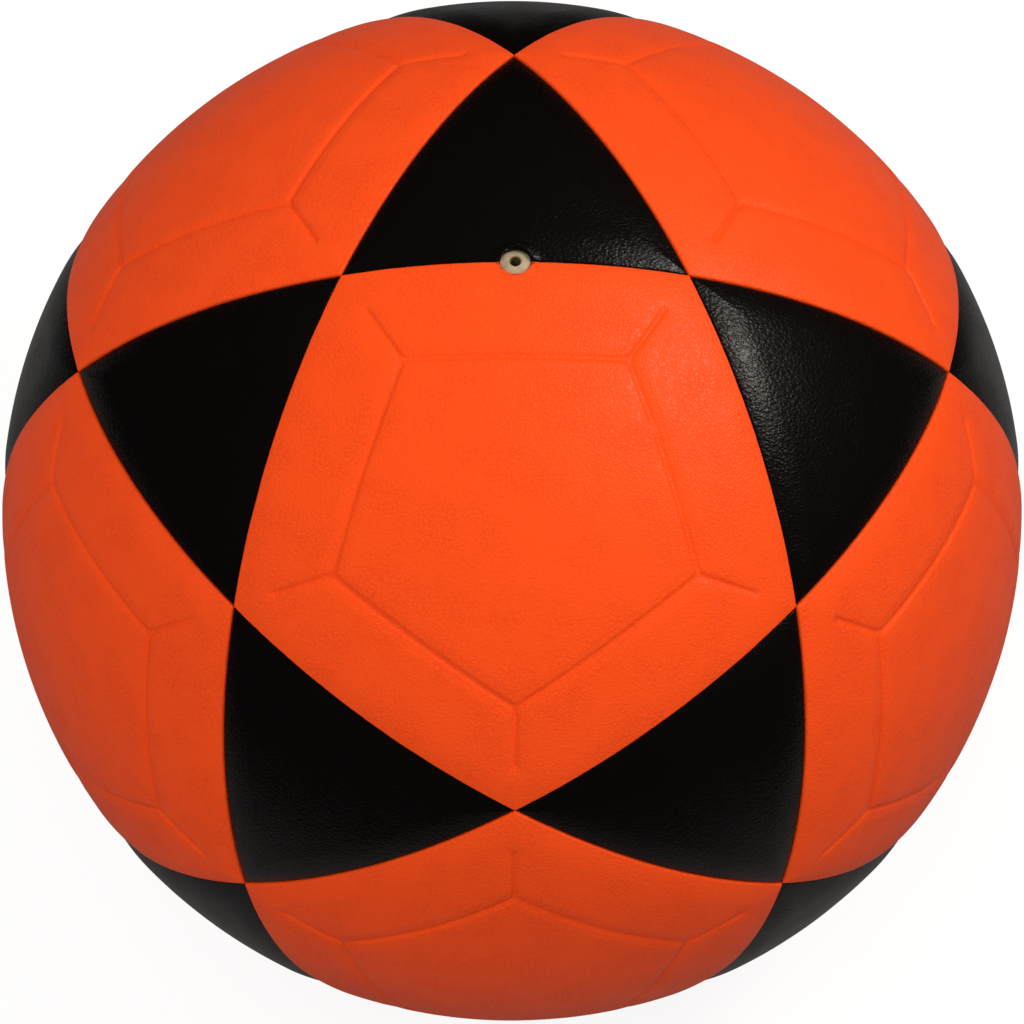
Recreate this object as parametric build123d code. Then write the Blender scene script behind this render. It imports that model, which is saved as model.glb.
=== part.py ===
from build123d import *
from math import acos, asin, atan2, cos, degrees, radians, sin, sqrt, tan
import os

# A laminated footvolley ball: twelve pentagon panels and twenty triangle panels, each a
# polyurethane skin on a foam pad, cemented over a vulcanised rubber carcass, a nylon
# winding and a butyl bladder. A removable valve core plugs into the bladder's housing.
#
# Millimetres. Origin at the ball's centre, +Z out through the valve. The valve sits on
# the seam between pentagon 01, which lies towards -Y, and triangle 01, towards +Y.

# ---- driving sizes -------------------------------------------------------------------

ball_radius = 109.0

# layers, from the outside in
skin_thickness = 1.2
foam_thickness = 2.8
carcass_thickness = 1.0
winding_thickness = 0.6
bladder_thickness = 0.9
bond_line = 0.1  # cement between one bonded layer and the next

# panel borders
seam_gap = 0.2  # between the side walls of two neighbouring panels
border_round = 0.8  # round-over along each skin's outer border

# moulded groove on each pentagon: a smaller pentagon with a spoke at each corner
groove_corner_radius = 36.6  # from the panel's axis to a corner of the small pentagon
groove_width = 1.7
groove_depth = 0.5
spoke_length = 12.6

# valve opening: each of the two panels has its own half-round notch, clear of the core's head
pentagon_notch_clearance = 0.25
triangle_notch_clearance = 0.85
foam_notch_clearance = 0.3  # the pads are notched this much wider than the skins

# valve housing, moulded on the inside of the bladder
housing_neck_radius = 4.6
housing_neck_clearance = 0.2  # round the neck, where it passes through the layers
housing_top_setback = 0.1  # below the carcass's outer face
housing_flange_radius = 16.0
housing_flange_thickness = 1.6
housing_length = 20.0  # from its top to its inner end
housing_end_round = 1.2
core_bore_radius = 2.2

# rubber washer that backs the winding round the neck
washer_radius = 12.0
washer_thickness = 0.5

# removable valve core
core_fit = 0.05  # between the sealing beads and the housing's bore
core_head_radius = 2.95
core_head_rim = 1.2  # how far the head's rim lies below the ball's surface
core_dome_height = 0.8
core_seat_gap = 0.02  # under the head, above the housing
core_shank_radius = 1.9
core_bead_count = 3
core_bead_length = 1.6
core_tip_length = 5.0  # how far the lips hang below the housing
core_tip_radius = 1.5
needle_bore_radius = 1.0
needle_lead_in = 0.3
lip_length = 3.0  # solid rubber at the tip, closed by the slit
lip_slit_width = 0.2
lip_slit_length = 1.8

# ---- derived radii -------------------------------------------------------------------

pentagon_notch_radius = core_head_radius + pentagon_notch_clearance
triangle_notch_radius = core_head_radius + triangle_notch_clearance
skin_inner = ball_radius - skin_thickness
foam_outer = skin_inner - bond_line
foam_inner = foam_outer - foam_thickness
carcass_outer = foam_inner - bond_line
carcass_inner = carcass_outer - carcass_thickness
washer_outer = carcass_inner - bond_line
winding_outer = carcass_inner - bond_line
winding_inner = winding_outer - winding_thickness
bladder_outer = winding_inner - bond_line
bladder_inner = bladder_outer - bladder_thickness
flange_outer = bladder_inner - bond_line

housing_top = carcass_outer - housing_top_setback
housing_bottom = housing_top - housing_length
neck_hole_radius = housing_neck_radius + housing_neck_clearance

# ---- the panel layout ----------------------------------------------------------------

# Pentagon centres are the corners of an icosahedron and triangle centres the middles of
# its faces, so the panels' own corners are the middles of the icosahedron's edges.
PENTAGON_SIDES = 5
TRIANGLE_SIDES = 3
half_edge_angle = 18.0  # half a panel edge, seen from the ball's centre, in degrees
icosahedron_edge_angle = degrees(acos(1 / sqrt(5)))
pentagon_corner_angle = icosahedron_edge_angle / 2
pentagon_side_angle = degrees(acos(cos(radians(pentagon_corner_angle)) / cos(radians(half_edge_angle))))
triangle_corner_angle = degrees(asin(sin(radians(half_edge_angle)) / sin(radians(60))))
triangle_side_angle = degrees(acos(cos(radians(triangle_corner_angle)) / cos(radians(half_edge_angle))))


def from_pole(polar, azimuth):
    """The unit vector at these angles, in degrees, from the axis of pentagon 01."""
    p, a = radians(polar), radians(azimuth)
    return Vector(sin(p) * cos(a), sin(p) * sin(a), cos(p))


def icosahedron():
    """The twelve pentagon centres, with the middle of pentagon 01's upper side on +Z."""
    ring = [from_pole(icosahedron_edge_angle, 54 + 72 * i) for i in range(5)]
    north = [Vector(0, 0, 1)] + ring
    south = [-v for v in north]
    return [v.rotate(Axis.X, pentagon_side_angle) for v in north + south]


def triangle_centres(corners):
    """The middle of each icosahedron face, nearest the valve first."""
    near = cos(radians(icosahedron_edge_angle)) - 0.01
    middles = [
        (a + b + c).normalized()
        for i, a in enumerate(corners)
        for j, b in enumerate(corners[i + 1 :], i + 1)
        for c in corners[j + 1 :]
        if min(a.dot(b), b.dot(c), a.dot(c)) > near
    ]
    return sorted(middles, key=lambda v: (-round(v.Z, 6), round(v.Y, 6), round(v.X, 6)))


def panel_plane(centre, corner):
    """The frame of one panel: +Z out through its centre, +X towards one of its corners."""
    return Plane(origin=(0, 0, 0), x_dir=corner - centre * corner.dot(centre), z_dir=centre)


def pentagon_planes():
    corners = icosahedron()
    near = cos(radians(icosahedron_edge_angle)) - 0.01
    return [
        panel_plane(c, next(n for n in corners if n.dot(c) > near and n is not c))
        for c in corners
    ]


def triangle_planes():
    corners = icosahedron()
    planes = []
    for centre in triangle_centres(corners):
        nearest = sorted(corners, key=lambda c: -round(c.dot(centre), 6))[:3]
        planes.append(panel_plane(centre, nearest[0] + nearest[1]))
    return planes


# ---- shapes shared by the panels -----------------------------------------------------


def ball(radius):
    """A solid sphere whose seam and poles keep clear of +Z, where the panels are made."""
    return Rotation(90, 0, 0) * Sphere(radius)


def shell(outer, inner):
    return ball(outer) - ball(inner)


def pyramid(sides, corner_angle, side_angle):
    """The cone of space one panel fills, in from its neighbours by half the seam gap."""
    height = 1.3 * ball_radius
    reach = height * tan(radians(corner_angle))
    apex = Vector(0, 0, 0)
    rim = [
        Vector(reach * cos(2 * i * radians(180) / sides), reach * sin(2 * i * radians(180) / sides), height)
        for i in range(sides)
    ]
    faces = [Face(Wire.make_polygon([apex, rim[i], rim[(i + 1) % sides]])) for i in range(sides)]
    faces.append(Face(Wire.make_polygon(rim)))
    inset = seam_gap / 2 / sin(radians(side_angle))
    return Pos(0, 0, inset) * Solid(Shell(faces))


def skin_blank(sides, corner_angle, side_angle):
    """One panel's polyurethane skin with its outer border rounded over."""
    body = shell(ball_radius, skin_inner) & pyramid(sides, corner_angle, side_angle)
    outer = body.faces().filter_by(GeomType.SPHERE).sort_by(SortBy.AREA)[-1]
    return fillet(outer.edges(), min(border_round, 0.8 * skin_thickness))


def foam_blank(sides, corner_angle, side_angle):
    return shell(foam_outer, foam_inner) & pyramid(sides, corner_angle, side_angle)


# ---- the moulded groove --------------------------------------------------------------


def groove_cutter():
    """Five arcs round the small pentagon and five spokes, as a round rod bent over the ball."""
    rod = (groove_width**2 / 4 + groove_depth**2) / (2 * groove_depth)
    path = ball_radius - groove_depth + rod
    corner = degrees(asin(groove_corner_radius / ball_radius))
    spoke = corner + degrees(spoke_length / ball_radius)
    step = 360 / PENTAGON_SIDES
    corners = [from_pole(corner, i * step) for i in range(PENTAGON_SIDES)]
    ends = [from_pole(spoke, i * step) for i in range(PENTAGON_SIDES)]
    cutter = []
    for i in range(PENTAGON_SIDES):
        for start, end in ((corners[i], corners[i - 1]), (corners[i], ends[i])):
            cutter.append(bent_rod(start, end, path, rod))
        for point in (corners[i], ends[i]):
            cutter.append(Pos(*(point * path)) * Sphere(rod))
    return cutter


def bent_rod(start, end, path, rod):
    """A rod of this radius along the great circle from one direction to another."""
    across = start.cross(end)
    sweep = degrees(acos(start.dot(end)))
    plane = Plane(origin=(0, 0, 0), x_dir=start, z_dir=across)
    return plane * Torus(path, rod, major_angle=sweep, align=None)


# ---- panels --------------------------------------------------------------------------


def turned(radius, top, bottom):
    """A cylinder on the valve's axis between two heights."""
    return Pos(0, 0, bottom) * Cylinder(radius, top - bottom, align=(Align.CENTER, Align.CENTER, Align.MIN))


def valve_hole(radius):
    """A plug of this radius through every layer on the valve's side of the ball."""
    return turned(radius, 1.1 * ball_radius, 0.5 * ball_radius)


def pentagon_skins():
    blank = skin_blank(PENTAGON_SIDES, pentagon_corner_angle, pentagon_side_angle)
    for piece in groove_cutter():
        blank -= piece
    skins = [plane * blank for plane in pentagon_planes()]
    skins[0] -= valve_hole(pentagon_notch_radius)
    return {f"pentagon_panel_{n:02d}": skin for n, skin in enumerate(skins, 1)}


def triangle_skins():
    blank = skin_blank(TRIANGLE_SIDES, triangle_corner_angle, triangle_side_angle)
    skins = [plane * blank for plane in triangle_planes()]
    skins[0] -= valve_hole(triangle_notch_radius)
    return {f"triangle_panel_{n:02d}": skin for n, skin in enumerate(skins, 1)}


def pentagon_pads():
    blank = foam_blank(PENTAGON_SIDES, pentagon_corner_angle, pentagon_side_angle)
    pads = [plane * blank for plane in pentagon_planes()]
    pads[0] -= valve_hole(pentagon_notch_radius + foam_notch_clearance)
    return {f"pentagon_foam_{n:02d}": pad for n, pad in enumerate(pads, 1)}


def triangle_pads():
    """Twenty pads in four groups of five, from the valve down."""
    blank = foam_blank(TRIANGLE_SIDES, triangle_corner_angle, triangle_side_angle)
    pads = [plane * blank for plane in triangle_planes()]
    pads[0] -= valve_hole(triangle_notch_radius + foam_notch_clearance)
    groups = [pads[i : i + 5] for i in range(0, len(pads), 5)]
    return {f"triangle_foam_group_{n}": Compound(solids_of(group)) for n, group in enumerate(groups, 1)}


def solids_of(shapes):
    return [solid for shape in shapes for solid in shape.solids()]


# ---- layers under the cover ----------------------------------------------------------


def carcass():
    return shell(carcass_outer, carcass_inner) - valve_hole(neck_hole_radius)


def winding():
    """The nylon winding stops at the washer."""
    return shell(winding_outer, winding_inner) - valve_hole(washer_radius + bond_line)


def valve_washer():
    disc = shell(washer_outer, washer_outer - washer_thickness) & valve_hole(washer_radius)
    return disc - valve_hole(neck_hole_radius)


def bladder():
    return shell(bladder_outer, bladder_inner) - valve_hole(neck_hole_radius)


# ---- valve ---------------------------------------------------------------------------


def valve_housing():
    """Neck, boss and the flange that is vulcanised to the inside of the bladder."""
    neck = turned(housing_neck_radius, housing_top, housing_bottom)
    neck = fillet(neck.edges().sort_by(Axis.Z)[0], housing_end_round)
    flange = shell(flange_outer, flange_outer - housing_flange_thickness) & valve_hole(housing_flange_radius)
    return (neck + flange) - valve_hole(core_bore_radius)


def valve_core():
    """The removable plug: domed head, shank with sealing beads, needle bore and slit lips."""
    head_bottom = housing_top + core_seat_gap
    head_rim = ball_radius - core_head_rim
    tip = housing_bottom - core_tip_length
    bead = core_bore_radius - core_fit
    dome = (core_head_radius**2 + core_dome_height**2) / (2 * core_dome_height)
    bore_end = tip + lip_length

    head = revolved(
        [(0, head_bottom), (core_head_radius, head_bottom), (core_head_radius, head_rim)],
        (core_head_radius * 0.55, head_rim + dome_rise(dome, core_head_radius * 0.55)),
        (0, head_rim + core_dome_height),
    )
    shank = turned(core_shank_radius, head_bottom, housing_bottom)
    nose = turned(core_tip_radius, housing_bottom, tip)
    core = head + shank + nose
    pitch = (head_bottom - housing_bottom) / (core_bead_count + 1)
    for i in range(core_bead_count):
        middle = head_bottom - pitch * (i + 1)
        core += turned(bead, middle + core_bead_length / 2, middle - core_bead_length / 2)
    core -= turned(needle_bore_radius, ball_radius, bore_end)
    mouth = head_rim + dome_rise(dome, needle_bore_radius)
    core -= Pos(0, 0, mouth - needle_lead_in / 2) * Cone(
        needle_bore_radius, needle_bore_radius + needle_lead_in, needle_lead_in
    )
    slit = Pos(0, 0, tip + lip_length / 2) * Box(lip_slit_length, lip_slit_width, 2 * lip_length)
    return core - slit


def dome_rise(dome, at_radius):
    """How far a dome of this radius stands above the head's rim, this far off the axis."""
    return sqrt(dome**2 - at_radius**2) - sqrt(dome**2 - core_head_radius**2)


def revolved(straight, through, end):
    """A solid of revolution about Z: straight sides, then an arc through one point to an end on the axis."""
    points = [(r, 0, z) for r, z in straight]
    arc = ThreePointArc(points[-1], (through[0], 0, through[1]), (end[0], 0, end[1]))
    outline = Polyline(*points) + arc + Line((end[0], 0, end[1]), points[0])
    return revolve(make_face(outline), Axis.Z)


# ---- write one STEP file per piece ---------------------------------------------------


def main():
    pieces = {
        **pentagon_skins(),
        **triangle_skins(),
        **pentagon_pads(),
        **triangle_pads(),
        "rubber_carcass": carcass(),
        "nylon_winding": winding(),
        "bladder": bladder(),
        "valve_washer": valve_washer(),
        "valve_housing": valve_housing(),
        "valve_core": valve_core(),
    }
    os.makedirs("parts", exist_ok=True)
    for name, shape in pieces.items():
        export_step(shape, f"parts/{name}.step")
    print(len(pieces), "pieces written")


if __name__ == "__main__":
    main()
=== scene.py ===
from math import acos, asin, cos, pi, radians, sin, sqrt

import bmesh
import bpy
from mathutils import Matrix, Vector


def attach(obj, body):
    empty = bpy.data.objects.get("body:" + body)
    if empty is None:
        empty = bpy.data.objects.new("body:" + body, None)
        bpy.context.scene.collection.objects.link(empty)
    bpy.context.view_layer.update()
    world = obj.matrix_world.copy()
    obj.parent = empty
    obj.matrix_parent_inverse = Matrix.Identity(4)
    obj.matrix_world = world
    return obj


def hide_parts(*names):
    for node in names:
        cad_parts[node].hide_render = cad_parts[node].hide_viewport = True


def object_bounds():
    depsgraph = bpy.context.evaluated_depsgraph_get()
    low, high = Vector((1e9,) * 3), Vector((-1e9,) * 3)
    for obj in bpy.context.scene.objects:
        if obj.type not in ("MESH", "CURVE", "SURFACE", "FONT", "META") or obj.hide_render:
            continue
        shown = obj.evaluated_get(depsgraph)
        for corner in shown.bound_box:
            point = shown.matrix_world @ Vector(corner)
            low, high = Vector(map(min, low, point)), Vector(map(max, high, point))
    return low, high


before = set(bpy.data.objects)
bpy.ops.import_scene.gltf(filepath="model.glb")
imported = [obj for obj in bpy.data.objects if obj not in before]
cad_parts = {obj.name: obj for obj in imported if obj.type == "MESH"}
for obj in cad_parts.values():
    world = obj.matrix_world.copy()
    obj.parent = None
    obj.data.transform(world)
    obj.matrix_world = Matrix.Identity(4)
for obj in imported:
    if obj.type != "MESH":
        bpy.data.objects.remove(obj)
cad_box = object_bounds()

MM = 0.001

# ---- the ball's sizes, in metres ------------------------------------------------------

BALL_RADIUS = 109.0 * MM
SKIN_THICKNESS = 1.2 * MM
PAD_OUTER_RADIUS = 107.7 * MM
PAD_THICKNESS = 2.8 * MM

# between neighbouring skins, and between neighbouring pads
SKIN_SEAM_GAP = 0.08 * MM
PAD_SEAM_GAP = 0.3 * MM

# valve opening: the notch punched in each of the two panels that meet there
SKIN_NOTCH_RADIUS = 3.15 * MM
PAD_NOTCH_RADIUS = 4.1 * MM
# the black skin's notch is punched this far towards the orange skin, so that its torn lip
# laps over the plug's head, with a pocket under it
BLACK_NOTCH_SHIFT = 0.9 * MM
HEAD_POCKET_RADIUS = 3.1 * MM
HEAD_POCKET_TOP = BALL_RADIUS - 0.25 * MM
NEEDLE_BORE_RADIUS = 1.0 * MM

PENTAGON_SIDES = 5
TRIANGLE_SIDES = 3


# ---- where the panels lie -------------------------------------------------------------
# Pentagon centres are the corners of an icosahedron and triangle centres the middles of
# its faces. The valve, on +Z, is on the seam between pentagon 01 and triangle 01.

HALF_EDGE_ANGLE = radians(18)
PENTAGON_SPACING = acos(1 / sqrt(5))
PENTAGON_CORNER_ANGLE = PENTAGON_SPACING / 2
PENTAGON_SIDE_ANGLE = acos(cos(PENTAGON_CORNER_ANGLE) / cos(HALF_EDGE_ANGLE))
TRIANGLE_CORNER_ANGLE = asin(sin(HALF_EDGE_ANGLE) / sin(radians(60)))
TRIANGLE_SIDE_ANGLE = acos(cos(TRIANGLE_CORNER_ANGLE) / cos(HALF_EDGE_ANGLE))


def pentagon_centres():
    """Pentagon 01, its five neighbours, then the six panels opposite them."""
    ring = [
        Vector((sin(PENTAGON_SPACING) * cos(a), sin(PENTAGON_SPACING) * sin(a), cos(PENTAGON_SPACING)))
        for a in (radians(54 + 72 * i) for i in range(5))
    ]
    north = [Vector((0, 0, 1))] + ring
    tilt = Matrix.Rotation(PENTAGON_SIDE_ANGLE, 3, "X")
    return [tilt @ v for v in north + [-v for v in north]]


def triangle_centres(corners):
    """The middle of each icosahedron face, nearest the valve first."""
    near = cos(PENTAGON_SPACING) - 0.01
    middles = []
    for i, a in enumerate(corners):
        for j, b in enumerate(corners[i + 1 :], i + 1):
            for c in corners[j + 1 :]:
                if min(a.dot(b), b.dot(c), a.dot(c)) > near:
                    middles.append((a + b + c).normalized())
    return sorted(middles, key=lambda v: (-round(v.z, 4), round(v.y, 4), round(v.x, 4)))


def turned_to(centre, corner):
    """The turn that takes +Z to a panel's centre and +X towards one of its corners."""
    along = (corner - centre * corner.dot(centre)).normalized()
    return Matrix((along, centre.cross(along), centre)).transposed()


def pentagon_turns():
    corners = pentagon_centres()
    near = cos(PENTAGON_SPACING) - 0.01
    turns = []
    for centre in corners:
        neighbour = next(n for n in corners if n is not centre and n.dot(centre) > near)
        turns.append(turned_to(centre, neighbour))
    return turns


def triangle_turns():
    corners = pentagon_centres()
    turns = []
    for centre in triangle_centres(corners):
        nearest = sorted(corners, key=lambda c: -round(c.dot(centre), 4))[:3]
        turns.append(turned_to(centre, nearest[0] + nearest[1]))
    return turns


# ---- arithmetic in node trees ---------------------------------------------------------


class Field:
    """A value that varies over a piece, so that a rule in a node tree reads as arithmetic."""

    def __init__(self, tree, socket):
        self.tree = tree
        self.socket = socket

    def math(self, operation, *others):
        return calculate(self.tree, operation, self, *others)

    def __add__(self, other):
        return self.math("ADD", other)

    def __sub__(self, other):
        return self.math("SUBTRACT", other)

    def __mul__(self, other):
        return self.math("MULTIPLY", other)

    def __truediv__(self, other):
        return self.math("DIVIDE", other)

    __radd__ = __add__
    __rmul__ = __mul__

    def __rsub__(self, other):
        return calculate(self.tree, "SUBTRACT", other, self)

    def __rtruediv__(self, other):
        return calculate(self.tree, "DIVIDE", other, self)

    def root(self):
        return self.math("MAXIMUM", 0).math("SQRT")

    def squared(self):
        return self * self

    def at_least(self, other):
        return self.math("MAXIMUM", other)

    def at_most(self, other):
        return self.math("MINIMUM", other)

    def clipped(self):
        """Held between 0 and 1."""
        return self.at_least(0).at_most(1)

    def eased(self, start, end):
        """0 up to start, 1 past end, and a smooth rise between them."""
        q = ((self - start) / (end - start)).clipped()
        return q * q * (3 - q * 2)


def calculate(tree, operation, *values):
    node = tree.nodes.new("ShaderNodeMath")
    node.operation = operation
    for value, target in zip(values, node.inputs):
        connect(tree, value, target)
    return Field(tree, node.outputs[0])


def connect(tree, value, target):
    """Feeds a field, a socket or a plain value to a node's input."""
    if isinstance(value, Field):
        tree.links.new(value.socket, target)
    elif isinstance(value, bpy.types.NodeSocket):
        tree.links.new(value, target)
    else:
        target.default_value = value


def add_node(tree, kind, settings=None, **inputs):
    """A node with its settings and inputs. An input's spaces are written as underscores."""
    node = tree.nodes.new(kind)
    for name, value in (settings or {}).items():
        setattr(node, name, value)
    for name, value in inputs.items():
        connect(tree, value, node.inputs[name.replace("_", " ")])
    return node


def combine(tree, x, y, z):
    return add_node(tree, "ShaderNodeCombineXYZ", X=x, Y=y, Z=z).outputs[0]


def new_rule(name, inputs):
    """An empty Geometry Nodes tree with these named inputs, and the inputs as fields."""
    tree = bpy.data.node_groups.new(name, "GeometryNodeTree")
    tree.interface.new_socket(name="Geometry", in_out="OUTPUT", socket_type="NodeSocketGeometry")
    kinds = {float: "NodeSocketFloat", int: "NodeSocketInt", None: "NodeSocketMaterial"}
    for label, kind in inputs.items():
        tree.interface.new_socket(name=label, in_out="INPUT", socket_type=kinds[kind])
    entry = tree.nodes.new("NodeGroupInput")
    return tree, {label: Field(tree, entry.outputs[label]) for label in inputs}


def finish_rule(tree, geometry, finish):
    """Ends a tree with Realize Instances and Set Material."""
    realized = add_node(tree, "GeometryNodeRealizeInstances", Geometry=geometry)
    painted = add_node(tree, "GeometryNodeSetMaterial", Geometry=realized.outputs[0], Material=finish)
    leave = tree.nodes.new("NodeGroupOutput")
    tree.links.new(painted.outputs[0], leave.inputs[0])
    return tree


def made_by(rule, name, values):
    """A plain mesh object made by a rule with these values for its inputs."""
    base = bpy.data.objects.new(name + "_base", bpy.data.meshes.new(name + "_base"))
    bpy.context.collection.objects.link(base)
    modifier = base.modifiers.new("rule", "NODES")
    modifier.node_group = rule
    for item in rule.interface.items_tree:
        if item.in_out == "INPUT" and item.name in values:
            modifier[item.identifier] = values[item.name]
    graph = bpy.context.evaluated_depsgraph_get()
    mesh = bpy.data.meshes.new_from_object(base.evaluated_get(graph), depsgraph=graph)
    mesh.name = name
    only_finish(mesh, values["Finish"])
    bpy.data.objects.remove(base)
    piece = bpy.data.objects.new(name, mesh)
    bpy.context.collection.objects.link(piece)
    return piece


# ---- the panel rule -------------------------------------------------------------------

# how much closer the grid's columns stand where they crowd, from 0 to 1
COLUMN_CROWDING = 0.8
# how the groove's side and spoke run into each other, and the dip along its outer side
GROOVE_BLEND = 1.2 * MM
OUTER_DIP_START = 0.7 * MM
OUTER_DIP_END = 3.2 * MM
# a vent's bridge across the groove: how long it is, how much it fills, and where it fades
BRIDGE_LENGTH = 1.3 * MM
BRIDGE_STRENGTH = 0.8
BRIDGE_FADE_START = 2.5 * MM
BRIDGE_FADE_END = 4.0 * MM
# the torn lip at the valve: how wide it is, and how far its line and its height wander
LIP_WIDTH = 0.75 * MM
LIP_RAGGEDNESS = 0.9 * MM
LIP_UNEVENNESS = 1.6
# how fine each noise is, on a plane where the ball's radius is 1
EDGE_NOISE = 34
FINE_EDGE_NOISE = 140
LIP_NOISE = 90
UNDULATION_NOISE = 5.5
# how far apart the noise of two panels lies, and then of two sides and two panels
PANEL_NOISE_STEP = 7.31
SIDE_WRINKLE_STEP = 40
PANEL_WRINKLE_STEP = 300

PANEL_INPUTS = {
    "Sides": int,
    "Segments Around": int,
    "Outer Radius": float,
    "Thickness": float,
    "Side Angle": float,
    "Seam Gap": float,
    "Edge Round": float,
    "Edge Wander": float,
    "Seam Fall": float,
    "Seam Fall Width": float,
    "Underside Fall": float,
    "Groove Corner Angle": float,
    "Groove Depth": float,
    "Groove Floor": float,
    "Groove Shoulder": float,
    "Dip Depth": float,
    "Dip Width": float,
    "Outer Dip": float,
    "Spoke Length": float,
    "Bridge Sector": int,
    "Bridge Offset": float,
    "Undulation": float,
    "Valve Sector": int,
    "Rim Radius": float,
    "Rim Lift": float,
    "Seed": int,
    "Finish": None,
}


def panel_rule(name, rings, wall_rings, back_rings):
    """A closed panel over +Z, worked out as a polar grid that follows the panel's outline.

    rings lists (number of rings, share of the way out that they reach), so that they
    crowd round the moulded groove and the outer edge. Rows past the last of them go down
    the side wall and back to the middle underneath.
    """
    tree, size = new_rule(name, PANEL_INPUTS)
    sides = size["Sides"]
    radius = size["Outer Radius"]
    sector_angle = 2 * pi / sides
    half_sector = sector_angle / 2
    outer_rows = sum(count for count, reach in rings)
    rows = outer_rows + wall_rings + back_rings

    grid = add_node(tree, "GeometryNodeMeshGrid", Size_X=1.0, Size_Y=1.0)
    connect(tree, size["Segments Around"] * sides + 1, grid.inputs["Vertices X"])
    connect(tree, rows + 1, grid.inputs["Vertices Y"])
    grid_place = tree.nodes.new("GeometryNodeInputPosition").outputs[0]
    place = add_node(tree, "ShaderNodeSeparateXYZ", Vector=grid_place)
    around = (Field(tree, place.outputs[0]) + 0.5) * sides
    row = ((Field(tree, place.outputs[1]) + 0.5) * rows).math("ROUND")

    # how far out a row lies, from 0 in the middle to 1 at the edge
    out = row * 0
    first, reached = 0, 0.0
    for count, reach in rings:
        out = out + ((row - first) / count).clipped() * (reach - reached)
        first, reached = first + count, reach
    out = out - ((row - outer_rows - wall_rings) / back_rings).clipped()
    wall = ((row - outer_rows) / wall_rings).clipped()

    # columns crowd at the corners, where the spokes run, and at the middle of each side
    sector = around.math("FLOOR")
    across = around - sector
    across = across - (across * 4 * pi).math("SINE") * (COLUMN_CROWDING / (4 * pi))

    # a and b are measured on the plane that touches the ball at the panel's middle
    side = size["Side Angle"] - size["Seam Gap"] / radius / 2
    a = out * side.math("TANGENT")
    b = a * half_sector.math("TANGENT") * (across * 2 - 1)
    length = (a * a + b * b + 1).root()
    off_side = b.math("ABSOLUTE")

    def over_ball(share):
        """A length over the ball from the sine of its angle."""
        return share.math("ARCSINE") * radius

    # the seam: a broad fall towards the edge and a tight round at it
    edge = over_ball((side.math("SINE") - a * side.math("COSINE")) / length).at_least(0)
    fall = (1 - edge / size["Seam Fall Width"]).clipped().squared() * size["Seam Fall"]
    turn = (sector + 0.5) * sector_angle
    flat_x = a * turn.math("COSINE") - b * turn.math("SINE")
    flat_y = a * turn.math("SINE") + b * turn.math("COSINE")
    flat = Field(tree, combine(tree, flat_x, flat_y, size["Seed"] * PANEL_NOISE_STEP))
    ragged = noise(tree, flat, EDGE_NOISE, 3) + noise(tree, flat, FINE_EDGE_NOISE, 1) * 0.5
    tight = (edge - size["Edge Wander"] * (ragged - 0.75) * 2).at_least(0)
    tight = tight.at_most(size["Edge Round"])
    rounding = size["Edge Round"] - (tight * (size["Edge Round"] * 2 - tight)).root()

    # the moulded groove: five sides of a small pentagon and a spoke at each corner
    corner = size["Groove Corner Angle"]
    groove_side = (corner.math("TANGENT") * half_sector.math("COSINE")).math("ARCTANGENT")
    from_side = over_ball((a * groove_side.math("COSINE") - groove_side.math("SINE")) / length)
    half_length = over_ball(corner.math("SINE") * half_sector.math("SINE"))
    past_end = (over_ball(off_side / length) - half_length).at_least(0)
    to_side = (from_side.squared() + past_end.squared()).root()
    from_spoke = over_ball((a * half_sector.math("SINE") - off_side * half_sector.math("COSINE")) / length)
    reach = (1 / length.at_least(1)).math("ARCCOSINE") * radius
    spoke_start = corner * radius
    before = spoke_start - reach
    beyond = reach - spoke_start - size["Spoke Length"]
    past_spoke = before.at_least(beyond).at_least(0)
    to_spoke = (from_spoke.squared() + past_spoke.squared()).root()
    to_groove = to_side.math("SMOOTH_MIN", to_spoke, GROOVE_BLEND)
    groove = (1 - to_groove.eased(size["Groove Floor"], size["Groove Shoulder"])) * size["Groove Depth"]
    dip = (1 - to_groove.eased(0, size["Dip Width"])) * size["Dip Depth"]
    outside = from_side.eased(0, OUTER_DIP_START)
    outside = outside * (1 - from_side.eased(OUTER_DIP_START, OUTER_DIP_END))
    dip = dip + outside * size["Outer Dip"]

    # one small bridge across the groove, where the mould has a vent
    bridge_y = over_ball(b / length) - size["Bridge Offset"]
    bridge = ((bridge_y / BRIDGE_LENGTH).squared() * -1).math("EXPONENT")
    on_sector = sector.math("COMPARE", size["Bridge Sector"], 0.5)
    near_side = 1 - to_side.eased(BRIDGE_FADE_START, BRIDGE_FADE_END)
    groove = groove * (1 - on_sector * near_side * bridge * BRIDGE_STRENGTH)

    # the raised, torn rim at the valve
    valve_a = size["Side Angle"].math("SINE")
    valve_c = size["Side Angle"].math("COSINE")
    da, db, dc = a / length - valve_a, b / length, 1 / length - valve_c
    from_valve = (da * da + db * db + dc * dc).root() * radius
    at_valve = sector.math("COMPARE", size["Valve Sector"], 0.5)
    torn = noise(tree, flat, LIP_NOISE, 2)
    ridge = (from_valve - size["Rim Radius"] - (torn - 0.5) * LIP_RAGGEDNESS) / LIP_WIDTH
    rim = (ridge.squared() * -1).math("EXPONENT") * size["Rim Lift"] * at_valve
    rim = rim * (torn * LIP_UNEVENNESS)

    hand_made = (noise(tree, flat, UNDULATION_NOISE, 1) - 0.5) * 2 * size["Undulation"]
    relief = (fall + rounding + groove + dip - rim - hand_made).at_least(rim * -1)
    underside = size["Thickness"] + fall * size["Underside Fall"]
    height = radius - relief * (1 - wall) - underside * wall

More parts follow.
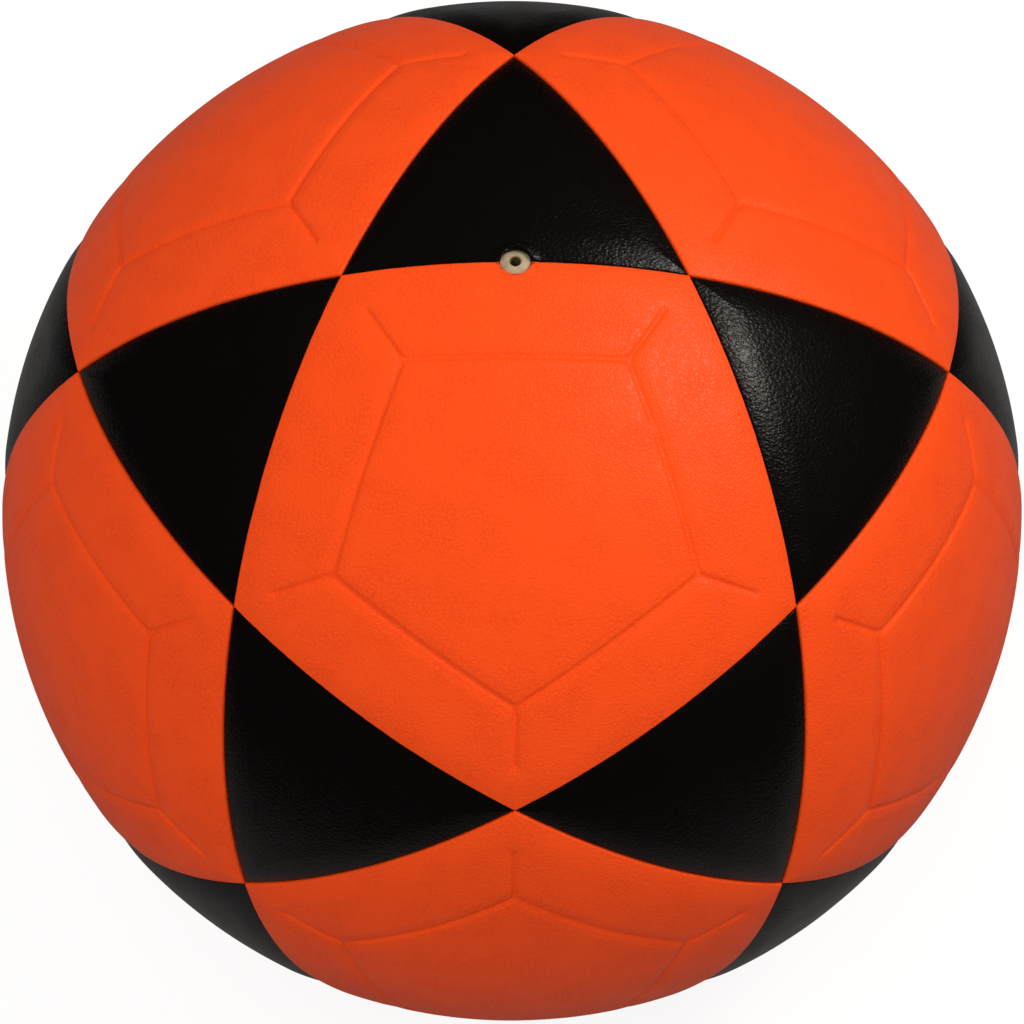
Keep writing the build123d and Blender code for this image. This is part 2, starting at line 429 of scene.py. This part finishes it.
    share = height / length
    position = combine(tree, flat_x * share, flat_y * share, share)
    shaped = add_node(tree, "GeometryNodeSetPosition", Geometry=grid.outputs[0], Position=position)
    which_side = sector * SIDE_WRINKLE_STEP + size["Seed"] * PANEL_WRINKLE_STEP
    beside = combine(tree, edge / MM, over_ball(b / length) / MM, which_side)
    marked = store(tree, shaped.outputs[0], "seam_place", beside, "FLOAT_VECTOR")
    no_groove = 0.00001 * MM
    marked = store(tree, marked, "groove", groove / (size["Groove Depth"] + no_groove), "FLOAT")
    weld_gap = 0.0005 * MM
    welded = add_node(tree, "GeometryNodeMergeByDistance", Geometry=marked, Distance=weld_gap)
    outward = add_node(tree, "GeometryNodeFlipFaces", Mesh=welded.outputs[0])
    smooth = add_node(tree, "GeometryNodeSetShadeSmooth", Geometry=outward.outputs[0])
    return finish_rule(tree, smooth.outputs[0], size["Finish"])


def noise(tree, place, scale, detail):
    settings = {"Scale": float(scale), "Detail": float(detail)}
    node = add_node(tree, "ShaderNodeTexNoise", Vector=place, **settings)
    return Field(tree, node.outputs[0])


def store(tree, geometry, name, value, kind):
    """Keeps a value on the mesh for the finish to read."""
    settings = {"data_type": kind, "domain": "POINT"}
    node = add_node(tree, "GeometryNodeStoreNamedAttribute", settings, Geometry=geometry, Name=name)
    open_socket = next(socket for socket in node.inputs if socket.name == "Value" and socket.enabled)
    connect(tree, value, open_socket)
    return node.outputs[0]


# ---- panels ---------------------------------------------------------------------------

PENTAGON_SKIN = {
    "Sides": PENTAGON_SIDES,
    "Segments Around": 76,
    "Outer Radius": BALL_RADIUS,
    "Thickness": SKIN_THICKNESS,
    "Side Angle": PENTAGON_SIDE_ANGLE,
    "Seam Gap": SKIN_SEAM_GAP,
    "Edge Round": 0.4 * MM,
    "Edge Wander": 0.1 * MM,
    "Seam Fall": 0.6 * MM,
    "Seam Fall Width": 6.0 * MM,
    "Underside Fall": 1.0,
    "Groove Corner Angle": radians(19.6),
    "Groove Depth": 0.42 * MM,
    "Groove Floor": 0.0,
    "Groove Shoulder": 1.0 * MM,
    "Dip Depth": 0.2 * MM,
    "Dip Width": 3.0 * MM,
    "Outer Dip": 0.14 * MM,
    "Spoke Length": 12.6 * MM,
    "Undulation": 0.1 * MM,
    "Bridge Sector": -1,
    "Valve Sector": -1,
}
TRIANGLE_SKIN = {
    **PENTAGON_SKIN,
    "Sides": TRIANGLE_SIDES,
    "Segments Around": 60,
    "Side Angle": TRIANGLE_SIDE_ANGLE,
    "Seam Fall": 0.95 * MM,
    "Seam Fall Width": 7.5 * MM,
    "Groove Depth": 0.0,
    "Dip Depth": 0.0,
    "Outer Dip": 0.0,
}
PENTAGON_PAD = {
    **PENTAGON_SKIN,
    "Segments Around": 16,
    "Outer Radius": PAD_OUTER_RADIUS,
    "Thickness": PAD_THICKNESS,
    "Seam Gap": PAD_SEAM_GAP,
    "Edge Wander": 0.0,
    "Underside Fall": 0.0,
    "Groove Depth": 0.0,
    "Dip Depth": 0.0,
    "Outer Dip": 0.0,
    "Undulation": 0.0,
}
TRIANGLE_PAD = {
    **PENTAGON_PAD,
    "Sides": TRIANGLE_SIDES,
    "Side Angle": TRIANGLE_SIDE_ANGLE,
    "Seam Fall": TRIANGLE_SKIN["Seam Fall"],
    "Seam Fall Width": TRIANGLE_SKIN["Seam Fall Width"],
}
# where a vent of the mould leaves a small bridge across the groove, by the panel's number:
# the side, and how far from that side's middle
GROOVE_BRIDGES = {1: (4, 7.3 * MM), 5: (0, 19.5 * MM)}
PENTAGON_RINGS = [(18, 0.506), (32, 0.646), (20, 0.86), (14, 0.985), (8, 1.0)]
TRIANGLE_RINGS = [(18, 0.6), (24, 0.98), (8, 1.0)]
PAD_RINGS = [(8, 0.85), (6, 1.0)]
RIM_RADIUS = 3.1 * MM
BLACK_RIM_LIFT = 0.95 * MM
ORANGE_RIM_LIFT = 0.3 * MM
PADS_TO_A_GROUP = 5
WALL_RINGS = 3
SKIN_BACK_RINGS = 8
PAD_BACK_RINGS = 4


def sector_towards_valve(turn, sides):
    """The number of the panel's side that the valve is on."""
    valve = turn.transposed() @ Vector((0, 0, 1))
    azimuth = Vector((valve.x, valve.y)).angle_signed(Vector((1, 0))) % (2 * pi)
    return int(azimuth / (2 * pi / sides))


def place(piece, turn):
    piece.data.transform(turn.to_4x4())
    piece.data.update()
    return piece


def evenly_round(count):
    """Evenly spaced angles round a circle."""
    return [2 * pi * i / count for i in range(count)]


def punch(piece, finish, radius, offset=0.0, high=1.1 * BALL_RADIUS):
    """Cuts a round hole at the valve's axis, or offset from it, from inside the ball up to a height."""
    mesh = bpy.data.meshes.new("punch")
    cutter = bpy.data.objects.new("punch", mesh)
    bpy.context.collection.objects.link(cutter)
    sides, low = 96, 0.85 * BALL_RADIUS
    angles = evenly_round(sides)
    points = [(radius * cos(t), radius * sin(t) - offset, z) for z in (low, high) for t in angles]
    walls = [(i, (i + 1) % sides, (i + 1) % sides + sides, i + sides) for i in range(sides)]
    ends = [tuple(reversed(range(sides))), tuple(range(sides, 2 * sides))]
    mesh.from_pydata(points, [], walls + ends)
    cut = piece.modifiers.new("notch", "BOOLEAN")
    cut.operation = "DIFFERENCE"
    cut.solver = "EXACT"
    cut.object = cutter
    bake_modifiers(piece)
    only_finish(piece.data, finish)
    bpy.data.objects.remove(cutter)
    return piece


def only_finish(mesh, finish):
    """Leaves the mesh one material slot, which all its faces use."""
    mesh.materials.clear()
    mesh.materials.append(finish)
    for face in mesh.polygons:
        face.material_index = 0


def bake_modifiers(piece):
    """Turns what the modifiers show into the piece's own mesh."""
    graph = bpy.context.evaluated_depsgraph_get()
    mesh = bpy.data.meshes.new_from_object(piece.evaluated_get(graph), depsgraph=graph)
    piece.modifiers.clear()
    old = piece.data
    piece.data = mesh
    bpy.data.meshes.remove(old)


def cover_panels(kind, rule, turns, sizes, finish, rim_lift, notch_offset):
    """Skins of one kind, in the order of the panels, the first of them notched at the valve."""
    for number, turn in enumerate(turns, 1):
        values = {**sizes, "Seed": number, "Finish": finish}
        if kind == "pentagon" and number in GROOVE_BRIDGES:
            values["Bridge Sector"], values["Bridge Offset"] = GROOVE_BRIDGES[number]
        if number == 1:
            values["Valve Sector"] = sector_towards_valve(turn, sizes["Sides"])
            values["Rim Radius"] = RIM_RADIUS
            values["Rim Lift"] = rim_lift
        piece = place(made_by(rule, f"{kind}_skin_{number:02d}", values), turn)
        if number == 1:
            punch(piece, finish, SKIN_NOTCH_RADIUS, notch_offset)
            punch(piece, finish, HEAD_POCKET_RADIUS, 0.0, HEAD_POCKET_TOP)
        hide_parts(f"{kind}_panel_{number:02d}")
        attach(piece, "ball")


def foam_pads(name, rule, turns, sizes, finish):
    """A pad under each panel, in the order of the panels, the first of them notched at the valve."""
    pads = []
    for number, turn in enumerate(turns, 1):
        values = {**sizes, "Seed": number, "Finish": finish}
        pad = place(made_by(rule, f"{name}_{number:02d}", values), turn)
        if number == 1:
            punch(pad, finish, PAD_NOTCH_RADIUS)
        pads.append(pad)
    return pads


def joined(name, pieces):
    """One piece from several, which it takes the place of."""
    gathered = bmesh.new()
    for piece in pieces:
        gathered.from_mesh(piece.data)
    mesh = bpy.data.meshes.new(name)
    gathered.to_mesh(mesh)
    gathered.free()
    mesh.materials.append(pieces[0].data.materials[0])
    for piece in pieces:
        bpy.data.objects.remove(piece)
    whole = bpy.data.objects.new(name, mesh)
    bpy.context.collection.objects.link(whole)
    return whole


def lay_pad(pad, node):
    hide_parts(node)
    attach(pad, "ball")


def lay_pads(rule, finish):
    """One piece for each pentagon pad, and one for each group of triangle pads."""
    pads = foam_pads("pentagon_pad", rule, pentagon_turns(), PENTAGON_PAD, finish)
    for number, pad in enumerate(pads, 1):
        lay_pad(pad, f"pentagon_foam_{number:02d}")
    pads = foam_pads("triangle_pad", rule, triangle_turns(), TRIANGLE_PAD, finish)
    for group in range(len(pads) // PADS_TO_A_GROUP):
        members = pads[group * PADS_TO_A_GROUP : (group + 1) * PADS_TO_A_GROUP]
        lay_pad(joined(f"triangle_pads_{group + 1}", members), f"triangle_foam_group_{group + 1}")


# ---- finishes -------------------------------------------------------------------------


def new_finish(name):
    """A material holding only a Principled BSDF, with its tree and shader."""
    material = bpy.data.materials.new(name)
    material.use_nodes = True
    tree = material.node_tree
    tree.nodes.clear()
    shader = tree.nodes.new("ShaderNodeBsdfPrincipled")
    leave = tree.nodes.new("ShaderNodeOutputMaterial")
    tree.links.new(shader.outputs[0], leave.inputs[0])
    return material, tree, shader


def linear(red, green, blue):
    """A screen colour, 0 to 255 a channel, as the shader's linear colour."""

    def channel(value):
        c = value / 255
        return c / 12.92 if c <= 0.04045 else ((c + 0.055) / 1.055) ** 2.4

    return (channel(red), channel(green), channel(blue), 1.0)


def new_effect(name, inputs, outputs):
    """An empty shader node group, its inputs as sockets and its output node."""
    tree = bpy.data.node_groups.new(name, "ShaderNodeTree")
    for label in outputs:
        tree.interface.new_socket(name=label, in_out="OUTPUT", socket_type="NodeSocketFloat")
    for label, value in inputs.items():
        socket = tree.interface.new_socket(name=label, in_out="INPUT", socket_type="NodeSocketFloat")
        socket.default_value = value
    entry = tree.nodes.new("NodeGroupInput")
    leave = tree.nodes.new("NodeGroupOutput")
    return tree, {label: Field(tree, entry.outputs[label]) for label in inputs}, leave


def use_effect(tree, effect, values):
    node = tree.nodes.new("ShaderNodeGroup")
    node.node_tree = effect
    for label, value in values.items():
        connect(tree, value, node.inputs[label])
    return {socket.name: Field(tree, socket) for socket in node.outputs}


def kept(tree, name):
    """A value that the panel rule kept on the mesh."""
    node = tree.nodes.new("ShaderNodeAttribute")
    node.attribute_type = "GEOMETRY"
    node.attribute_name = name
    return node


def scaled_place(tree, x, y, z):
    """Object coordinates divided by these lengths along each axis."""
    coordinates = tree.nodes.new("ShaderNodeTexCoord")
    parts = tree.nodes.new("ShaderNodeSeparateXYZ")
    tree.links.new(coordinates.outputs["Object"], parts.inputs[0])
    px, py, pz = (Field(tree, socket) for socket in parts.outputs)
    return combine(tree, px / x, py / y, pz / z)


def even_place(tree, length):
    """Object coordinates divided by the same length along each axis."""
    return scaled_place(tree, length, length, length)


def cells(tree, place, feature):
    settings = {"feature": feature, "voronoi_dimensions": "3D"}
    node = add_node(tree, "ShaderNodeTexVoronoi", settings, Vector=place, Scale=1.0, Randomness=1.0)
    return Field(tree, node.outputs["Distance"])


def bent(tree, place, amount, scale):
    """The same place pushed about by a soft noise, so that cells and lines wander."""
    wander = add_node(tree, "ShaderNodeTexNoise", Vector=place, Scale=scale, Detail=2.0)
    shift = add_node(tree, "ShaderNodeVectorMath", {"operation": "MULTIPLY_ADD"})
    connect(tree, wander.outputs["Color"], shift.inputs[0])
    shift.inputs[1].default_value = (amount, amount, amount)
    connect(tree, place, shift.inputs[2])
    return shift.outputs[0]


# grain: creases between the pebbles, the patches in which they are deeper, and the tooth
CREASE_SPACING = 0.9 * MM
PATCH_SIZE = 9 * MM
TOOTH_SIZE = 0.12 * MM
# wrinkles, in millimetres from the seam and along it, as the panel rule keeps them
WRINKLE_LENGTH = 6.0
WRINKLE_SPACING = 1.4
BUNCH_WIDTH = 9.0
BUNCH_LENGTH = 20.0


def leather_grain():
    """The fine pebble of coated leather: small swollen cells, creases between and a fine tooth.

    Close to a seam the skin is also drawn into short wrinkles that run in from the edge.
    """
    inputs = {
        "Pebble Size": 0.5 * MM,
        "Stretch": 1.0,
        "Pebble Depth": 0.03 * MM,
        "Crease Depth": 0.02 * MM,
        "Wrinkle Depth": 0.03 * MM,
        "Tooth Depth": 0.003 * MM,
    }
    tree, size, leave = new_effect("leather_grain", inputs, ["Height", "Crease"])
    pebble = size["Pebble Size"]
    place = bent(tree, scaled_place(tree, pebble * size["Stretch"], pebble, pebble), 0.4, 1.1)
    pillow = 1 - cells(tree, place, "F1").eased(0.15, 0.75)
    crease_length = size["Stretch"] * (CREASE_SPACING * 1.3)
    crease_place = scaled_place(tree, crease_length, CREASE_SPACING, CREASE_SPACING)
    crease_place = bent(tree, crease_place, 1.1, 1.7)
    line = 1 - cells(tree, crease_place, "DISTANCE_TO_EDGE").eased(0.0, 0.13)
    broad = even_place(tree, PATCH_SIZE)
    patch = noise(tree, broad, 1.0, 2).eased(0.38, 0.62)
    crease = line * (patch * 0.75 + 0.25)

    beside = tree.nodes.new("ShaderNodeSeparateXYZ")
    tree.links.new(kept(tree, "seam_place").outputs["Vector"], beside.inputs[0])
    inward, along, side = (Field(tree, socket) for socket in beside.outputs)
    streak_place = combine(tree, inward / WRINKLE_LENGTH, along / WRINKLE_SPACING, side)
    streaks = noise(tree, streak_place, 1.0, 1)
    wrinkle = 1 - ((streaks - 0.5) * 9).math("ABSOLUTE").clipped()
    reach = inward.eased(1.0, 3.0) * (1 - inward.eased(9.0, 16.0))
    bunch_place = combine(tree, along / BUNCH_WIDTH, side, inward / BUNCH_LENGTH)
    gathered = noise(tree, bunch_place, 1.0, 1).eased(0.48, 0.62)
    wrinkle = wrinkle * reach * gathered

    tooth = noise(tree, even_place(tree, TOOTH_SIZE), 1.0, 1)
    height = pillow * size["Pebble Depth"] - crease * size["Crease Depth"] + tooth * size["Tooth Depth"]
    height = height - wrinkle * size["Wrinkle Depth"]
    connect(tree, height, leave.inputs["Height"])
    connect(tree, crease.at_least(wrinkle * 0.7), leave.inputs["Crease"])
    return tree


def moulded_surface():
    """The matt, slightly mottled surface of moulded rubber."""
    inputs = {"Mottle": 4 * MM, "Tooth": 0.25 * MM}
    tree, size, leave = new_effect("moulded_surface", inputs, ["Height", "Shade"])
    shade = noise(tree, even_place(tree, size["Mottle"]), 1.0, 3).eased(0.3, 0.7)
    rough = noise(tree, even_place(tree, size["Tooth"]), 1.0, 2)
    tooth_depth, mottle_depth = 0.012 * MM, 0.01 * MM
    connect(tree, rough * tooth_depth + shade * mottle_depth, leave.inputs["Height"])
    connect(tree, shade, leave.inputs["Shade"])
    return tree


def raise_surface(tree, shader, height):
    """Feeds a height in metres to the shader as a bump."""
    bump = tree.nodes.new("ShaderNodeBump")
    bump.inputs["Strength"].default_value = 1.0
    bump.inputs["Distance"].default_value = 1.0
    connect(tree, height, bump.inputs["Height"])
    tree.links.new(bump.outputs[0], shader.inputs["Normal"])


def mixed(tree, share, first, second):
    """A colour between two, by this share of the second."""
    node = tree.nodes.new("ShaderNodeMix")
    node.data_type = "RGBA"
    connect(tree, share, node.inputs[0])
    connect(tree, first, node.inputs[6])
    connect(tree, second, node.inputs[7])
    return node.outputs[2]


def leather(name, grain, colour, crease_shade_colour, groove_shade_colour, roughness, grain_sizes):
    """Coated leather, with painted shade: darker in its creases and in the moulded groove."""
    material, tree, shader = new_finish(name)
    surface = use_effect(tree, grain, grain_sizes)
    # painted shade: the creases are coloured darker to stand for the shade in them
    shown = mixed(tree, surface["Crease"] * 0.4, colour, crease_shade_colour)
    # painted shade: the moulded groove is coloured darker to stand for the shade in it
    painted_groove_shade = Field(tree, kept(tree, "groove").outputs["Fac"])
    shown = mixed(tree, painted_groove_shade * 0.5, shown, groove_shade_colour)
    connect(tree, shown, shader.inputs["Base Color"])
    connect(tree, surface["Crease"] * 0.1 + roughness, shader.inputs["Roughness"])
    shader.inputs["Specular IOR Level"].default_value = 0.2
    raise_surface(tree, shader, surface["Height"])
    return material


def orange_leather(grain):
    grain_sizes = {
        "Pebble Size": 0.5 * MM,
        "Pebble Depth": 0.06 * MM,
        "Crease Depth": 0.03 * MM,
        "Wrinkle Depth": 0.14 * MM,
    }
    # the cover's orange, then its painted crease shade and its painted groove shade
    colours = (linear(250, 77, 12), linear(228, 58, 8), linear(238, 66, 10))
    return leather("orange_leather", grain, *colours, 0.38, grain_sizes)


def black_leather(grain):
    grain_sizes = {
        "Pebble Size": 0.55 * MM,
        "Stretch": 1.5,
        "Pebble Depth": 0.038 * MM,
        "Crease Depth": 0.014 * MM,
        "Wrinkle Depth": 0.02 * MM,
    }
    # the cover's black, then its painted crease shade, then the groove colour, which here is the same as
    # the cover's
    colours = (linear(11, 8, 7), linear(5, 4, 4), linear(11, 8, 7))
    return leather("black_leather", grain, *colours, 0.27, grain_sizes)


def rubber(name, surface_effect, colour, worn_colour, roughness, values):
    """Moulded rubber, mottled between two colours."""
    material, tree, shader = new_finish(name)
    surface = use_effect(tree, surface_effect, values)
    connect(tree, mixed(tree, surface["Shade"], colour, worn_colour), shader.inputs["Base Color"])
    connect(tree, surface["Shade"] * 0.12 + roughness, shader.inputs["Roughness"])
    raise_surface(tree, shader, surface["Height"])
    return material


def core_rubber(surface_effect):
    """Beige rubber, with painted shade: dark brown in the needle's bore, where shade falls deep in the
    hole.
    """
    colours = (linear(178, 164, 134), linear(154, 140, 110))
    material, tree, shader = new_finish("core_rubber")
    surface = use_effect(tree, surface_effect, {"Mottle": 1.5 * MM})
    coordinates = tree.nodes.new("ShaderNodeTexCoord")
    parts = add_node(tree, "ShaderNodeSeparateXYZ", Vector=coordinates.outputs["Object"])
    x, y = (Field(tree, socket) for socket in parts.outputs[:2])
    from_axis = (x * x + y * y).root()
    # painted shade: the needle's bore is coloured dark brown to stand for the shade deep in the hole
    bore_shade_edge = 0.25 * MM
    painted_bore_shade = 1 - from_axis.eased(NEEDLE_BORE_RADIUS, NEEDLE_BORE_RADIUS + bore_shade_edge)
    outside_bore_colour = mixed(tree, surface["Shade"], *colours)
    connect(tree, mixed(tree, painted_bore_shade, outside_bore_colour, linear(112, 88, 54)), shader.inputs["Base Color"])
    connect(tree, surface["Shade"] * 0.12 + 0.5, shader.inputs["Roughness"])
    raise_surface(tree, shader, surface["Height"])
    return material


def foam_finish():
    """Closed-cell foam: cream, with small open bubbles where its skin was cut, and painted shade darkening
    them.
    """
    material, tree, shader = new_finish("foam")
    bubble_size, bubble_depth = 0.45 * MM, 0.06 * MM
    place = bent(tree, even_place(tree, bubble_size), 0.5, 1.5)
    bubbles = 1 - cells(tree, place, "F1").eased(0.1, 0.55)
    # painted shade: the open bubbles are coloured darker to stand for the shade inside them
    colour = mixed(tree, bubbles * 0.6, linear(236, 230, 214), linear(204, 196, 176))
    connect(tree, colour, shader.inputs["Base Color"])
    connect(tree, bubbles * 0.1 + 0.75, shader.inputs["Roughness"])
    raise_surface(tree, shader, bubbles * -bubble_depth)
    return material


def wound_nylon():
    """Nylon thread wound round and round in several directions and set in latex."""
    material, tree, shader = new_finish("nylon")
    coordinates = tree.nodes.new("ShaderNodeTexCoord")
    lay = None
    for turn_x, turn_y in ((0.3, 0.2), (1.2, 0.9), (2.2, 1.7)):
        turned = add_node(tree, "ShaderNodeMapping", Vector=coordinates.outputs["Object"])
        turned.inputs["Rotation"].default_value = (turn_x, turn_y, turn_x * turn_y)
        wave = add_node(tree, "ShaderNodeTexWave", Vector=turned.outputs[0], Scale=520.0, Distortion=1.5)
        thread = Field(tree, wave.outputs["Fac"]).root()
        lay = thread if lay is None else lay.at_least(thread * 0.9)
    colour = mixed(tree, lay, linear(150, 138, 112), linear(226, 220, 204))
    connect(tree, colour, shader.inputs["Base Color"])
    connect(tree, 0.6 - lay * 0.15, shader.inputs["Roughness"])
    thread_height = 0.08 * MM
    raise_surface(tree, shader, lay * thread_height)
    return material


def finish_inner_pieces(surface):
    """Gives the CAD pieces that are kept as they are their finishes."""
    brown = (linear(38, 34, 32), linear(58, 53, 49))
    black = (linear(26, 25, 25), linear(42, 40, 39))
    grey = (linear(30, 29, 29), linear(50, 47, 46))
    wide, narrow = {"Mottle": 9 * MM}, {"Mottle": 2 * MM}
    finishes = {
        "rubber_carcass": rubber("carcass_rubber", surface, *brown, 0.62, {}),
        "nylon_winding": wound_nylon(),
        "bladder": rubber("butyl", surface, *black, 0.4, wide),
        "valve_washer": rubber("washer_rubber", surface, *grey, 0.6, narrow),
        "valve_housing": rubber("valve_rubber", surface, *black, 0.5, narrow),
        "valve_core": core_rubber(surface),
    }
    for node, finish in finishes.items():
        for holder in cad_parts[node].material_slots:
            holder.material = finish


# ---- stage, light and camera ----------------------------------------------------------

VIEW_AZIMUTH = radians(-0.85)
VIEW_ELEVATION = radians(63.95)
VIEW_ROLL = radians(0.77)
VIEW_DISTANCE = 7.73 * BALL_RADIUS
LENS = 137.4

FRAMING_SHIFT = -0.0012

# lamps: the direction, distance, width and power of each, in metres and watts; the fill
# lamp's direction turns with the camera
AMBIENT = 0.54
LAMP_COLOUR = (1.0, 0.93, 0.85)
KEY_SIDE = Vector((0.55, 0.10, 0.82))
KEY_DISTANCE = 0.6
KEY_WIDTH = 0.12
KEY_POWER = 1.25
FILL_SIDE = Vector((-0.22, 0.15, 0.96))
FILL_DISTANCE = 1.2
FILL_WIDTH = 0.5
FILL_POWER = 4.4

# the floor: its own grey under the lamps, and how bright it looks directly and in gloss
FLOOR_RADIUS = 0.42
FLOOR_GAP = 0.5 * MM
FLOOR_GREY = (0.18, 0.18, 0.18, 1)
FLOOR_GLOW = 0.87
FLOOR_GLOW_IN_GLOSS = 0.05
WHITE = (1, 1, 1, 1)


def camera_axis():
    """From the ball's centre towards the camera."""
    return Vector(
        (
            sin(VIEW_AZIMUTH) * cos(VIEW_ELEVATION),
            -cos(VIEW_AZIMUTH) * cos(VIEW_ELEVATION),
            sin(VIEW_ELEVATION),
        )
    )


def add_camera():
    """Makes the scene's camera, and returns how it is turned."""
    data = bpy.data.cameras.new("camera")
    data.lens = LENS
    data.sensor_width = 36.0
    data.clip_start = 0.01
    data.shift_y = FRAMING_SHIFT
    camera = bpy.data.objects.new("camera", data)
    axis = camera_axis()
    turn = axis.to_track_quat("Z", "Y").to_matrix() @ Matrix.Rotation(VIEW_ROLL, 3, "Z")
    camera.matrix_world = Matrix.Translation(axis * VIEW_DISTANCE) @ turn.to_4x4()
    bpy.context.collection.objects.link(camera)
    bpy.context.scene.camera = camera
    return turn


def add_softbox(name, towards, distance, width, power, shows_in_gloss):
    """A square area lamp that faces the ball from this direction."""
    data = bpy.data.lights.new(name, "AREA")
    data.shape = "SQUARE"
    data.size = width
    data.energy = power
    data.color = LAMP_COLOUR
    lamp = bpy.data.objects.new(name, data)
    direction = towards.normalized()
    turn = direction.to_track_quat("Z", "Y").to_matrix().to_4x4()
    lamp.matrix_world = Matrix.Translation(direction * distance) @ turn
    lamp.visible_glossy = shows_in_gloss
    bpy.context.collection.objects.link(lamp)


def add_floor():
    """A white table under the ball, just wide enough to catch its shadow."""
    bottom = cad_box[0][2] - FLOOR_GAP
    corners = 64
    mesh = bpy.data.meshes.new("floor")
    edge = [(FLOOR_RADIUS * cos(t), FLOOR_RADIUS * sin(t), bottom) for t in evenly_round(corners)]
    mesh.from_pydata(edge, [], [range(corners)])
    floor = bpy.data.objects.new("floor", mesh)
    bpy.context.collection.objects.link(floor)
    material, tree, shader = new_finish("floor_white")
    shader.inputs["Base Color"].default_value = FLOOR_GREY
    shader.inputs["Roughness"].default_value = 0.9
    seen = tree.nodes.new("ShaderNodeLightPath")
    shader.inputs["Emission Color"].default_value = WHITE
    camera_ray = Field(tree, seen.outputs["Is Camera Ray"])
    glossy_ray = Field(tree, seen.outputs["Is Glossy Ray"])
    glow = camera_ray * FLOOR_GLOW + glossy_ray * FLOOR_GLOW_IN_GLOSS
    connect(tree, glow, shader.inputs["Emission Strength"])
    mesh.materials.append(material)


def add_world():
    """Even light from all round, which the camera sees as white."""
    world = bpy.data.worlds.new("studio")
    bpy.context.scene.world = world
    world.use_nodes = True
    tree = world.node_tree
    back = tree.nodes["Background"]
    back.inputs["Color"].default_value = WHITE
    seen = tree.nodes.new("ShaderNodeLightPath")
    white = Field(tree, seen.outputs["Is Camera Ray"]) + Field(tree, seen.outputs["Is Transmission Ray"])
    connect(tree, white * (1 - AMBIENT) + AMBIENT, back.inputs["Strength"])
    world.cycles_visibility.glossy = False


# ---- the ball -------------------------------------------------------------------------


def main():
    scene = bpy.context.scene
    scene.view_settings.view_transform = "Standard"
    view = add_camera()
    add_world()
    add_floor()
    add_softbox("key", KEY_SIDE, KEY_DISTANCE, KEY_WIDTH, KEY_POWER, True)
    add_softbox("fill", view @ FILL_SIDE, FILL_DISTANCE, FILL_WIDTH, FILL_POWER, False)

    grain = leather_grain()
    pentagon = panel_rule("pentagon_panel_rule", PENTAGON_RINGS, WALL_RINGS, SKIN_BACK_RINGS)
    triangle = panel_rule("triangle_panel_rule", TRIANGLE_RINGS, WALL_RINGS, SKIN_BACK_RINGS)
    pad = panel_rule("pad_rule", PAD_RINGS, WALL_RINGS, PAD_BACK_RINGS)
    orange, black = orange_leather(grain), black_leather(grain)
    cover_panels("pentagon", pentagon, pentagon_turns(), PENTAGON_SKIN, orange, ORANGE_RIM_LIFT, 0.0)
    rim_lift, shift = BLACK_RIM_LIFT, BLACK_NOTCH_SHIFT
    cover_panels("triangle", triangle, triangle_turns(), TRIANGLE_SKIN, black, rim_lift, shift)
    lay_pads(pad, foam_finish())
    finish_inner_pieces(moulded_surface())


main()
